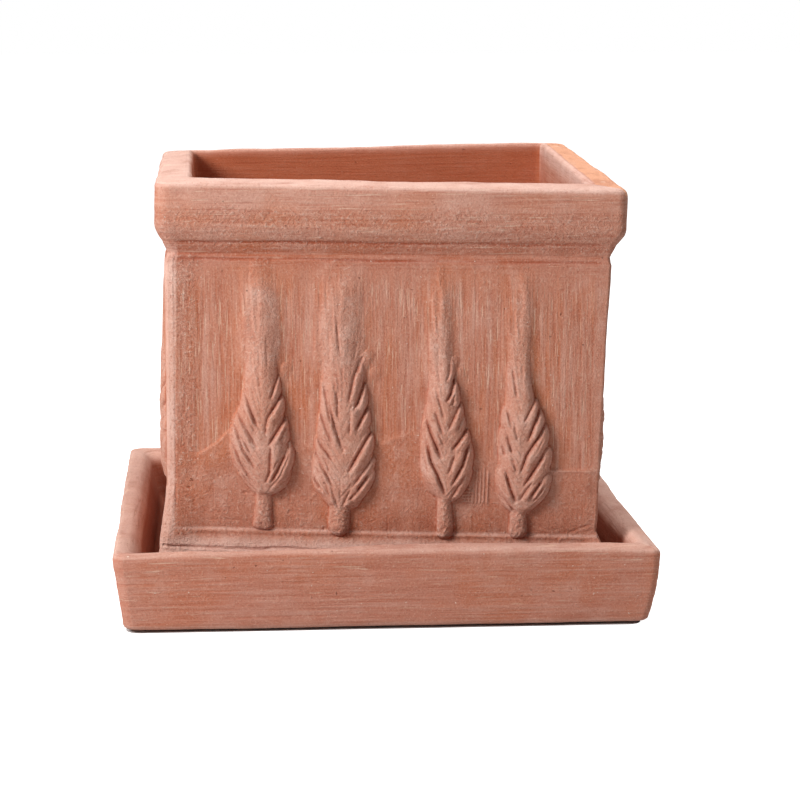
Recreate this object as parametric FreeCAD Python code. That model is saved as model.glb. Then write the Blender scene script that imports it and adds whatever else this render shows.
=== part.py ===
import FreeCAD, Part

import math
import os

# A square terracotta planter with cypresses in relief, standing in its square saucer.
# Two fired pieces: the saucer, and the pot that lifts off it.
# Millimetres, +Z up, +Y away from the front. The origin is under the middle of the saucer.

# The pot's outside, measured up from its own base. A reach is how far a face stands out
pot_height = 225.0
body_foot_width = 236.0
body_flare = 2.0
body_corner = 5.0
rim_reach = 6.0
rim_height = 30.5
rim_corner = 7.0
rim_top_round = 5.0
rim_under_round = 5.0
cove_height = 9.5
cove_round = 5.0
ledge_height = 33.5
ledge_thickness = 3.0
ledge_reach = 1.2
plinth_reach = 3.0
plinth_flare_height = 8.0
plinth_foot_round = 3.0

# The pot's inside
rim_wall = 17.0
foot_wall = 14.0
pot_floor = 16.0
mouth_corner = 5.0
mouth_round = 4.0
inner_foot_corner = 9.0
inner_cove = 8.0
drain_radius = 12.0
drain_bevel = 2.0

# The saucer. The gap is what it leaves all round the pot's foot
saucer_gap = 7.0
saucer_height = 44.0
saucer_floor = 14.0
saucer_wall = 15.0
saucer_inner_flare = 3.0
saucer_flare = 5.5
saucer_corner = 9.0
saucer_inner_corner = 7.0
saucer_lip_round = 4.0
saucer_foot_round = 3.0
saucer_inner_cove = 3.0

# Where the pot was set down in the saucer: a little off the middle and a little turned
pot_shift_x = 2.0
pot_shift_y = 0.5
pot_turn_degrees = -1.5

# The cypresses on each wall
tree_width = 36.0
tree_relief = 7.0
tree_root = 6.0
trunk_width = 10.5
trunk_relief = 4.6
trunk_height = 21.0
trunk_drop = 2.5
trunk_overlap = 4.0
# Each tree: where it stands across the wall, its width, and how high its foliage starts
place_shares = (-0.28, -0.103, 0.14, 0.314)
width_shares = (0.98, 1.03, 0.81, 0.86)
start_shares = (1.0, 0.67, 0.92, 0.66)
# Foliage from its foot to the rim: height, width and relief
height_shares = (0.0, 0.06, 0.165, 0.28, 0.38, 0.49, 0.65, 0.83, 1.0)
outline_shares = (0.28, 0.68, 1.0, 0.97, 0.84, 0.60, 0.47, 0.38, 0.34)
relief_shares = (0.55, 0.85, 1.0, 1.0, 0.94, 0.80, 0.58, 0.42, 0.32)

# The fronds: furrows cut up and outwards from each tree's middle
frond_count = 6
frond_depth = 2.2
frond_half_width = 1.6
frond_rise = 21.0
# Across: where a furrow starts and how far it reaches. Up: where the first and last begin
frond_start_share = 0.05
frond_reach_share = 0.47
frond_first_share = 0.02
frond_last_share = 0.43

# The low hills behind the cypresses
hill_relief = 1.0
hill_margin = 14.0
# Points along the skyline: place across the hills and height up the wall, from the ledge
hill_place_shares = (-0.5, -0.41, -0.28, -0.1, 0.0, 0.08, 0.28, 0.5)
hill_height_shares = (0.30, 0.385, 0.33, 0.28, 0.34, 0.37, 0.27, 0.23)

# One length that every cut runs past its surface, and how closely an edge's place is matched
overrun = 2.0
edge_match = 0.02

# Widths and heights that follow
body_top_width = body_foot_width + 2 * body_flare
rim_width = body_top_width + 2 * rim_reach
ledge_width = body_foot_width + 2 * ledge_reach
plinth_width = body_foot_width + 2 * plinth_reach
mouth_width = rim_width - 2 * rim_wall
inner_foot_width = body_foot_width - 2 * foot_wall
rim_base = pot_height - rim_height
body_top = rim_base - cove_height
plinth_top = ledge_height - ledge_thickness
plinth_shoulder = plinth_top - plinth_flare_height
saucer_inner_foot_width = plinth_width + 2 * saucer_gap
saucer_inner_width = saucer_inner_foot_width + 2 * saucer_inner_flare
saucer_width = saucer_inner_width + 2 * saucer_wall
saucer_foot_width = saucer_width - 2 * saucer_flare

up = FreeCAD.Vector(0, 0, 1)
origin = FreeCAD.Vector(0, 0, 0)


def rounded_square(width, corner, height):
    """A square outline with round corners, lying level at a height."""
    half = width / 2
    flat = half - corner
    slant = half - corner * (1 - math.sqrt(0.5))
    edges = []
    for turn in range(4):
        side = Part.makeLine((-flat, -half, height), (flat, -half, height))
        bend = Part.Arc(
            FreeCAD.Vector(flat, -half, height),
            FreeCAD.Vector(slant, -slant, height),
            FreeCAD.Vector(half, -flat, height),
        ).toShape()
        for edge in (side, bend):
            edge.rotate(origin, up, 90 * turn)
            edges.append(edge)
    return Part.Wire(edges)


def tapered_block(low_width, low_corner, low, high_width, high_corner, high):
    """A solid between two rounded squares."""
    low_outline = rounded_square(low_width, low_corner, low)
    high_outline = rounded_square(high_width, high_corner, high)
    return Part.makeLoft([low_outline, high_outline], True, True)


def level_edges(shape, height, width):
    """The edges that lie at a height, on the outline of a width."""
    found = []
    for edge in shape.Edges:
        box = edge.BoundBox
        reach = max(abs(box.XMin), abs(box.XMax), abs(box.YMin), abs(box.YMax))
        level = max(abs(box.ZMin - height), abs(box.ZMax - height)) < edge_match
        if level and abs(reach - width / 2) < edge_match:
            found.append(edge)
    return found


def make_saucer():
    """A flared square tray with a round lip and a coved inside."""
    tray = tapered_block(
        saucer_foot_width, saucer_corner, 0, saucer_width, saucer_corner, saucer_height
    )
    tray = tray.makeFillet(saucer_foot_round, level_edges(tray, 0, saucer_foot_width))
    rise = 2 * saucer_inner_flare / (saucer_height - saucer_floor)
    hollow = tapered_block(
        saucer_inner_foot_width,
        saucer_inner_corner,
        saucer_floor,
        saucer_inner_width + rise * overrun,
        saucer_inner_corner,
        saucer_height + overrun,
    )
    floor_edges = level_edges(hollow, saucer_floor, saucer_inner_foot_width)
    hollow = hollow.makeFillet(saucer_inner_cove, floor_edges)
    tray = tray.cut(hollow)
    lip = level_edges(tray, saucer_height, saucer_width)
    lip += level_edges(tray, saucer_height, saucer_inner_width)
    return tray.makeFillet(saucer_lip_round, lip)


def make_shell():
    """The pot without its reliefs: plinth, ledge, wall, cove and rim round one hollow."""
    blocks = [
        tapered_block(plinth_width, body_corner, 0, plinth_width, body_corner, plinth_shoulder),
        tapered_block(
            plinth_width, body_corner, plinth_shoulder, body_foot_width, body_corner, plinth_top
        ),
        tapered_block(
            ledge_width, body_corner, plinth_top, body_foot_width, body_corner, ledge_height
        ),
        tapered_block(
            body_foot_width, body_corner, plinth_top, body_top_width, body_corner, body_top
        ),
        tapered_block(body_top_width, body_corner, body_top, rim_width, rim_corner, rim_base),
        tapered_block(rim_width, rim_corner, rim_base, rim_width, rim_corner, pot_height),
    ]
    shell = blocks[0].multiFuse(blocks[1:]).removeSplitter()
    foot = level_edges(shell, 0, plinth_width)
    shell = shell.makeFillet(plinth_foot_round, foot)
    shell = shell.makeFillet(cove_round, level_edges(shell, body_top, body_top_width))
    shell = shell.makeFillet(rim_under_round, level_edges(shell, rim_base, rim_width))
    shell = shell.makeFillet(rim_top_round, level_edges(shell, pot_height, rim_width))
    return shell


def make_hollow():
    """The planting space: a tapered square with a coved floor."""
    rise = (mouth_width - inner_foot_width) / (pot_height - pot_floor)
    hollow = tapered_block(
        inner_foot_width,
        inner_foot_corner,
        pot_floor,
        mouth_width + rise * overrun,
        mouth_corner,
        pot_height + overrun,
    )
    return hollow.makeFillet(inner_cove, level_edges(hollow, pot_floor, inner_foot_width))


def make_drain():
    """The hole through the middle of the floor, with a bevelled upper edge."""
    hole = Part.makeCylinder(
        drain_radius, pot_floor + 2 * overrun, FreeCAD.Vector(0, 0, -overrun)
    )
    bevel = Part.makeCone(
        drain_radius,
        drain_radius + drain_bevel + overrun,
        drain_bevel + overrun,
        FreeCAD.Vector(0, 0, pot_floor - drain_bevel),
    )
    return hole.fuse(bevel)


def relief_section(middle, width, relief, height):
    """A low arch on the wall's face, closed by a root behind it. Relief points to -Y."""
    half = width / 2
    left = FreeCAD.Vector(middle - half, 0, height)
    right = FreeCAD.Vector(middle + half, 0, height)
    crown = FreeCAD.Vector(middle, -relief, height)
    root = FreeCAD.Vector(0, tree_root, 0)
    arch = Part.Arc(left, crown, right).toShape()
    return Part.Wire(
        [
            arch,
            Part.makeLine(right, right + root),
            Part.makeLine(right + root, left + root),
            Part.makeLine(left + root, left),
        ]
    )


def share_at(height_share, shares):
    """A value between those of the two nearest heights in the foliage table."""
    for step in range(len(height_shares) - 1):
        low, high = height_shares[step], height_shares[step + 1]
        if height_share <= high:
            blend = (height_share - low) / (high - low)
            return shares[step] * (1 - blend) + shares[step + 1] * blend
    return shares[-1]


def arch_height(across, width, relief):
    """How far an arch of a width and relief stands out at a distance from its middle."""
    radius = (width * width / 4 + relief * relief) / (2 * relief)
    return math.sqrt(max(radius * radius - across * across, 0)) - (radius - relief)


def make_furrow(middle, start, end):
    """A V-shaped cutter between two points at the bottom of a furrow."""
    along = end - start
    across = FreeCAD.Vector(along.z, 0, -along.x)
    across.normalize()
    lift = frond_depth + overrun
    spread = frond_half_width * lift / frond_depth
    out = FreeCAD.Vector(0, -lift, 0)
    move = FreeCAD.Vector(middle, 0, 0)
    foot = start + move
    corners = [foot, foot + out + across * spread, foot + out - across * spread, foot]
    return Part.Face(Part.makePolygon(corners)).extrude(along)


def make_furrows(middle, width, foot, top):
    """The furrows between the fronds of one tree, on both sides of its middle."""
    furrows = []
    length = top - foot
    spacing_share = (frond_last_share - frond_first_share) / (frond_count - 1)
    for side in (-1, 1):
        for number in range(frond_count):
            low_share = frond_first_share + spacing_share * (number + (side + 1) / 4)
            high_share = low_share + frond_rise / length
            ends = []
            for share, reach_share in (
                (low_share, frond_start_share),
                (high_share, frond_reach_share),
            ):
                wide = width * share_at(share, outline_shares)
                relief = tree_relief * share_at(share, relief_shares)
                across = wide * reach_share
                depth = arch_height(across, wide, relief) - frond_depth
                ends.append(FreeCAD.Vector(side * across, -depth, foot + share * length))
            furrows.append(make_furrow(middle, *ends))
    return furrows


def make_tree(middle, width, foot):
    """One cypress on a flat wall: furrowed foliage that thins into a rib, and its trunk."""
    top = rim_base - ledge_height
    length = top - foot
    sections = []
    for rise, wide, deep in zip(height_shares, outline_shares, relief_shares):
        sections.append(
            relief_section(middle, width * wide, tree_relief * deep, foot + rise * length)
        )
    foliage = Part.makeLoft(sections, True, False)
    foliage = foliage.cut(make_furrows(middle, width, foot, top))
    trunk = Part.makeLoft(
        [
            relief_section(middle, trunk_width, trunk_relief, -trunk_drop),
            relief_section(middle, trunk_width, trunk_relief, foot + trunk_overlap),
        ],
        True,
        True,
    )
    return foliage.fuse(trunk).removeSplitter()


def make_hills(wall_width):
    """The low mound behind the trees, with a smooth skyline from one margin to the other."""
    height = body_top - ledge_height
    reach = wall_width - 2 * hill_margin
    points = []
    for place, rise in zip(hill_place_shares, hill_height_shares):
        points.append(FreeCAD.Vector(place * reach, 0, rise * height))
    skyline = Part.BSplineCurve()
    skyline.interpolate(points)
    low_left = FreeCAD.Vector(points[0].x, 0, -ledge_thickness)
    low_right = FreeCAD.Vector(points[-1].x, 0, -ledge_thickness)
    outline = Part.Wire(
        [
            skyline.toShape(),
            Part.makeLine(points[-1], low_right),
            Part.makeLine(low_right, low_left),
            Part.makeLine(low_left, points[0]),
        ]
    )
    face = Part.Face(outline)
    face.translate(FreeCAD.Vector(0, -hill_relief, 0))
    return face.extrude(FreeCAD.Vector(0, hill_relief + tree_root, 0))


def make_reliefs():
    """The hills and cypresses of all four walls, each set leaning with its tapered wall."""
    wall_height = body_top - plinth_top
    lean = math.degrees(math.atan((body_top_width - body_foot_width) / 2 / wall_height))
    reliefs = [make_hills(body_foot_width)]
    for place, wide, start in zip(place_shares, width_shares, start_shares):
        reliefs.append(
            make_tree(place * body_foot_width, wide * tree_width, start * trunk_height)
        )
    foot = FreeCAD.Vector(0, -body_foot_width / 2, plinth_top)
    placed = []
    for turn in range(4):
        for relief in reliefs:
            copy = relief.copy()
            copy.translate(FreeCAD.Vector(0, -body_foot_width / 2, ledge_height))
            copy.rotate(foot, FreeCAD.Vector(1, 0, 0), lean)
            copy.rotate(origin, up, 90 * turn)
            placed.append(copy)
    return placed


def make_pot():
    """The whole pot, cut out inside after its reliefs are on."""
    pot = make_shell().multiFuse(make_reliefs())
    pot = pot.cut(make_hollow().fuse(make_drain())).removeSplitter()
    pot = pot.makeFillet(mouth_round, level_edges(pot, pot_height, mouth_width))
    pot.rotate(origin, up, pot_turn_degrees)
    pot.translate(FreeCAD.Vector(pot_shift_x, pot_shift_y, saucer_floor))
    return pot


def save(name, shape):
    """Writes one sub-part and prints what it holds."""
    box = shape.BoundBox
    print(
        name,
        "valid", shape.isValid(),
        "solids", len(shape.Solids),
        "faces", len(shape.Faces),
        "volume", round(shape.Volume),
        "size", round(box.XLength, 1), round(box.YLength, 1), round(box.ZLength, 1),
    )
    shape.exportStep("parts/" + name + ".step")


os.makedirs("parts", exist_ok=True)
save("saucer", make_saucer())
save("pot", make_pot())
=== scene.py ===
import math
from functools import partial

import bpy
import numpy as np
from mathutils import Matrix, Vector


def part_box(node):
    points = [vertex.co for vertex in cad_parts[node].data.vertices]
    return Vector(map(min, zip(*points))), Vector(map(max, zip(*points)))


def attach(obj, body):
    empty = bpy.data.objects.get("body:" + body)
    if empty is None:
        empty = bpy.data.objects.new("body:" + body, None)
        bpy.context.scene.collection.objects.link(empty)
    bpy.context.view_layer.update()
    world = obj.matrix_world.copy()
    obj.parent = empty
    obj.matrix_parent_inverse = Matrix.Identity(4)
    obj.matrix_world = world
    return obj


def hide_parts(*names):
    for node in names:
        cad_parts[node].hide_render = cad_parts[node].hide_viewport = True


# A square planter of fired terracotta, pressed and cut by hand, in its square saucer.
# Shapes are worked out in millimetres and become metres where a mesh is filled.
# Each wall has its own level: x runs to the right as one faces it, h up from the ledge.

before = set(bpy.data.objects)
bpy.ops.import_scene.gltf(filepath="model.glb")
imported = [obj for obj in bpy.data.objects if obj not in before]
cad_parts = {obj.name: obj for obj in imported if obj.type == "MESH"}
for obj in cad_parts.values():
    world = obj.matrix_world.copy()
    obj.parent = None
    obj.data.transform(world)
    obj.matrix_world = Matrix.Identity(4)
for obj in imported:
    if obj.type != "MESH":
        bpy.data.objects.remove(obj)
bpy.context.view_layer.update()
MM = 0.001

# From the frame: where the pot and saucer stand
pot_low, pot_high = (np.array(corner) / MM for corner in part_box("pot"))
saucer_low, saucer_high = (np.array(corner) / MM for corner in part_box("saucer"))
pot_middle = (pot_low + pot_high) / 2
pot_base = pot_low[2]
pot_height = pot_high[2] - pot_base
saucer_half = (saucer_high[0] - saucer_low[0]) / 2
saucer_height = saucer_high[2]
pot_turn = math.radians(-1.5)

# The pot's outside: half widths and heights above its base
rim_half = 126.4
rim_slope = 1.6
rim_top_round = 3.6
rim_under_round = 8.0
rim_under_height = 202.0
rim_corner = 8.0
band_groove_height = 195.0
band_groove_half = 122.0
cove_half = 119.0
cove_height = 188.3
neck_groove_height = 185.3
body_top_half = 120.2
body_foot_half = 118.0
body_corner = 4.4
ledge_height = 33.5
ledge_thickness = 2.0
ledge_half = 119.2
plinth_half = 122.6
plinth_height = 22.0
plinth_round = 1.6
foot_round = 3.0
underside_margin = 8.0

# Near the corners the ledge melts into a plain flare: heights above the base, half widths
flare_heights = [0, 20, 28.5, 36, 42, 51, 60]
flare_halves = [121.4, 122.0, 121.9, 121.0, 120.2, 119.2, 118.5]
short_flare_heights = [0, 20, 30, 33, 36.5, 60]
short_flare_halves = [121.8, 122.4, 121.4, 119.8, 118.2, 118.5]
flare_start = (97.0, 112.0)
short_flare_start = (110.0, 116.0)
# How round the upright corners are, of the right, back, left and front left ends of the sides
corner_share = (0.4, 0.9, 1.0, 1.0)
# The crack under the plinth's slope runs in from the left corner
crack_end = (-52.0, -28.0)

# The pot's inside
mouth_half = 108.5
mouth_round = 2.4
mouth_corner = 4.0
# How far each corner of the mouth was pushed to the right: front left and right, back left and right
mouth_push = ((2.0, -1.2), (1.0, 0.8))
lip_depth = 12.0
inner_foot_half = 104.0
inner_foot_corner = 9.0
inner_cove = 8.0
pot_floor = 16.0
drain_radius = 12.0
drain_bevel = 2.0

# The saucer
saucer_spread = 1.7
saucer_foot_half = 141.6
saucer_inner_half = 134.4
saucer_inner_foot_half = 127.2
saucer_floor = 14.0
saucer_corner = 6.5
saucer_corner_share = (0.75, 1.0, 1.0, 0.9)
saucer_inner_corner = 7.0
saucer_lip_round = 3.0
saucer_inner_round = 8.6
saucer_foot_round = 2.6
# The outer edge of the underside clears the table by this much, and rises over this width
saucer_edge_lift = 2.1
saucer_edge_width = 9.0
saucer_cove = 3.0
# How the front lip waves: x, and lift of its inner and outer edge
saucer_lip_x = [-147, -99, -50, 0, 88, 120, 147]
saucer_inner_lift = [-1.4, -1.8, -0.6, 3.4, 2.7, 3.0, 2.6]
saucer_outer_lift = [0.6, 1.6, 2.0, 1.7, 1.6, 0.8, -0.6]
# How far the right wall bends outward, from the front corner to the back one
saucer_bend_y = [-147.0, -20.0, 147.0]
saucer_bend = [2.6, -2.2, -1.0]
# and how far it bulges at half its height, at its front end
saucer_bulge = 1.9

# How firing bent the pot: the front leans clockwise, the back a little the other way,
# and the rim has slipped to the right over the body
front_lean = math.tan(math.radians(1.36))
back_lean = math.tan(math.radians(-0.56))
lean_start_height = 18.0
rim_slip = 0.6
# and the rim drew up at its corners: front left and right, back left and right
rim_rise = ((1.5, 2.2), (0.2, 2.4))
# The groove under the rim hangs lower at the front left corner
groove_drop = ((-1.9, 0.0), (0.0, 0.0))
# The ledge and plinth of the front run a little downhill: x, lift
ledge_tilt_x = [-118, 0, 118]
ledge_tilt = [2.2, 0.5, 0.0]

# The cuts between fronds: how deep, how wide the knife line is, and how far the clay
# on each side rounds down into it
deep_cut = 2.7
plain_cut = 1.8
soft_cut = 1.1
faint_cut = 0.5
cut_half_width = 0.75
cut_shoulder = 4.4

# Each cut frees a round frond below it, of this half width. It lies over the dome by its
# lift, and swells the outline where it comes out, more on the right of a cypress
frond_half_width = 3.1
frond_lift = 1.1
frond_swell = (0.6, 1.5)
frond_overrun = 2.0

# Fine strands run along the fronds: how far out they lean, at heights above the ledge
strand_heights = [0, 30, 60, 90, 150]
strand_leans = [0.95, 0.75, 0.5, 0.12, 0.02]
strand_depth = (0.36, 0.22)


def ease(value, low, high):
    """0 below low, 1 above high, and 3t^2 - 2t^3 between."""
    share = np.clip((value - low) / (high - low), 0.0, 1.0)
    return share * share * (3 - 2 * share)


def window(value, low, full, fade, high):
    """0 below low and above high, 1 from full to fade, and eased between."""
    return ease(value, low, full) * (1 - ease(value, fade, high))


def ridge(gap, width):
    """1 on a line, falling away on both sides of it by exp(-(gap / width)^2)."""
    return np.exp(-((gap / width) ** 2))


def noise(points, cells, seed):
    """Smooth values from -1 to 1: a random value at each corner of a lattice of cells,
    blended across the cell by 6t^5 - 15t^4 + 10t^3."""
    place = points / np.asarray(cells, float)
    corner = np.floor(place).astype(np.int64)
    share = place - corner
    fade = share ** 3 * (share * (share * 6 - 15) + 10)
    total = np.zeros(points.shape[:-1])
    for side in np.ndindex(2, 2, 2):
        index = corner + side
        code = index[..., 0] * 73856093 ^ index[..., 1] * 19349663 ^ index[..., 2] * 83492791
        code = (code + seed * 2654435761) & 0xFFFFFFFF
        code = ((code ^ (code >> 15)) * 2246822519) & 0xFFFFFFFF
        code = ((code ^ (code >> 13)) * 3266489917) & 0xFFFFFFFF
        value = (code ^ (code >> 16)) / 0x7FFFFFFF - 1.0
        total += value * np.prod(np.where(side, fade, 1 - fade), axis=-1)
    return total


def rounded_path(corners):
    """Straight runs between corner points, each corner rounded by an arc tangent to both runs.
    A corner is (half width, height, rounding, corner radius in plan)."""
    corners = [np.array(corner, float) for corner in corners]
    path = [corners[0][[0, 1, 3]]]
    for before, here, after in zip(corners, corners[1:], corners[2:]):
        back = before[:2] - here[:2]
        on = after[:2] - here[:2]
        back /= np.linalg.norm(back)
        on /= np.linalg.norm(on)
        half_angle = math.acos(np.clip(back @ on, -1, 1)) / 2
        middle = (back + on) / np.linalg.norm(back + on)
        centre = here[:2] + middle * here[2] / math.sin(half_angle)
        start = here[:2] + back * here[2] / math.tan(half_angle) - centre
        end = here[:2] + on * here[2] / math.tan(half_angle) - centre
        swing = math.pi - 2 * half_angle
        for share in np.linspace(0, 1, 9):
            turned = math.sin((1 - share) * swing) * start + math.sin(share * swing) * end
            path.append(np.append(centre + turned / math.sin(swing), here[3]))
    path.append(corners[-1][[0, 1, 3]])
    return np.array(path)


def spaced(path, spacing):
    """The path again, with points as far apart as spacing says at each place along it."""
    steps = np.linalg.norm(np.diff(path[:, :2], axis=0), axis=1)
    length = np.append(0, np.cumsum(steps))
    fine = np.linspace(0, length[-1], 6000)
    dense = np.stack([np.interp(fine, length, column) for column in path.T], -1)
    count = np.append(0, np.cumsum(np.diff(fine) / spacing(dense)[1:]))
    even = np.linspace(0, count[-1], int(count[-1]) + 2)
    return np.stack([np.interp(even, count, column) for column in dense.T], -1)


def square_plan(path, columns, flatness, roundness):
    """Carries a path round a square with rounded corners. The path gives half width,
    height and corner radius, of which roundness takes a share; a column is (side, share
    across the flat, corner angle). Flatness moves the corner arc towards its chord.
    Returns x, outward reach and height."""
    half, height, corner = (path[:, i, None] for i in range(3))
    corner = corner * roundness
    share, angle = columns[None, :, 1], columns[None, :, 2]
    turn = np.abs(angle)
    arc_x = corner * np.sin(turn)
    arc_y = corner * (np.cos(turn) - 1)
    chord_x = corner * turn / (math.pi / 2)
    bend_x = arc_x * (1 - flatness) + chord_x * flatness
    bend_y = arc_y * (1 - flatness) - chord_x * flatness
    x = share * (half - corner) + np.sign(angle) * bend_x
    return x, half + bend_y, height + 0 * x


def between_corners(points, half, values):
    """Values given at the front left and right and back left and right corners, spread
    evenly between them: (1 -+ x)(1 -+ y) v / 4 with x and y as shares of half."""
    x, y = (np.clip(points[..., i] / half, -1, 1) for i in range(2))
    (a, b), (c, d) = values
    return ((1 - x) * (1 - y) * a + (1 + x) * (1 - y) * b + (1 - x) * (1 + y) * c + (1 + x) * (1 + y) * d) / 4


def at_left_corner(side, x):
    """Whether a place on its side lies toward the front left corner."""
    return ((side == 0) & (x < 0)) | ((side == 3) & (x > 0))


def roundness_of(columns, shares):
    """The corner share of each column, going evenly from one corner of its side to the other."""
    side, place = columns[:, 0].astype(int), (columns[:, 1] + 1) / 2
    shares = np.array(shares)
    return shares[side - 1] + (shares[side] - shares[side - 1]) * place


def turned_by_side(x, outward, height, side):
    """Stands each column on its own side of the square: side 0 faces -Y, side 1 faces +X."""
    angle = side[None, :] * math.pi / 2
    y = -outward
    return np.stack(
        [np.cos(angle) * x - np.sin(angle) * y, np.sin(angle) * x + np.cos(angle) * y, height], -1
    )


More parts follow.
